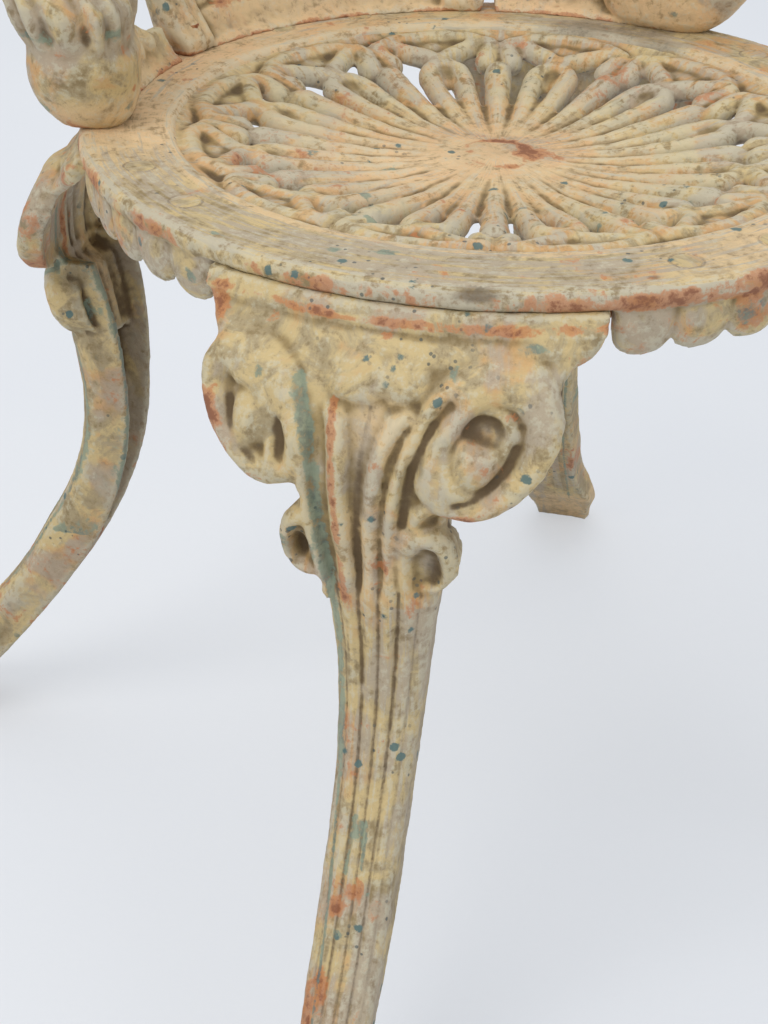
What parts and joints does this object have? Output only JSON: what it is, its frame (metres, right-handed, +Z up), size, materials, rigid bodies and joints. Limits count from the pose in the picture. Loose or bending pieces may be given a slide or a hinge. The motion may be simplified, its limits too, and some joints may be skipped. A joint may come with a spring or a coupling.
{
  "type": "garden armchair",
  "caption": "Round-seated cast iron garden armchair with an openwork dished seat, fan back, curved arms and four splayed cabriole legs.",
  "frame": {"origin": "on the floor under the centre of the round seat", "axes": "+Z up, the sitter faces -Y, +X to the sitter's left-hand side seen from the front"},
  "size_m": [0.545, 0.5444, 0.84],
  "materials": {
    "painted_iron": "weathered old cream paint over rust",
    "worn_steel": "dull, rusty"
  },
  "bodies": {
    "root": {"seat": "painted_iron", "front_left_leg": "painted_iron", "front_right_leg": "painted_iron", "rear_left_leg": "painted_iron", "rear_right_leg": "painted_iron", "back": "painted_iron", "left_arm": "painted_iron", "right_arm": "painted_iron", "leg_screws": "worn_steel", "leg_nuts": "worn_steel", "arm_bolts": "worn_steel", "back_bolts": "worn_steel", "joint_bolts": "worn_steel", "joint_nuts": "worn_steel"}
  },
  "joints": []
}
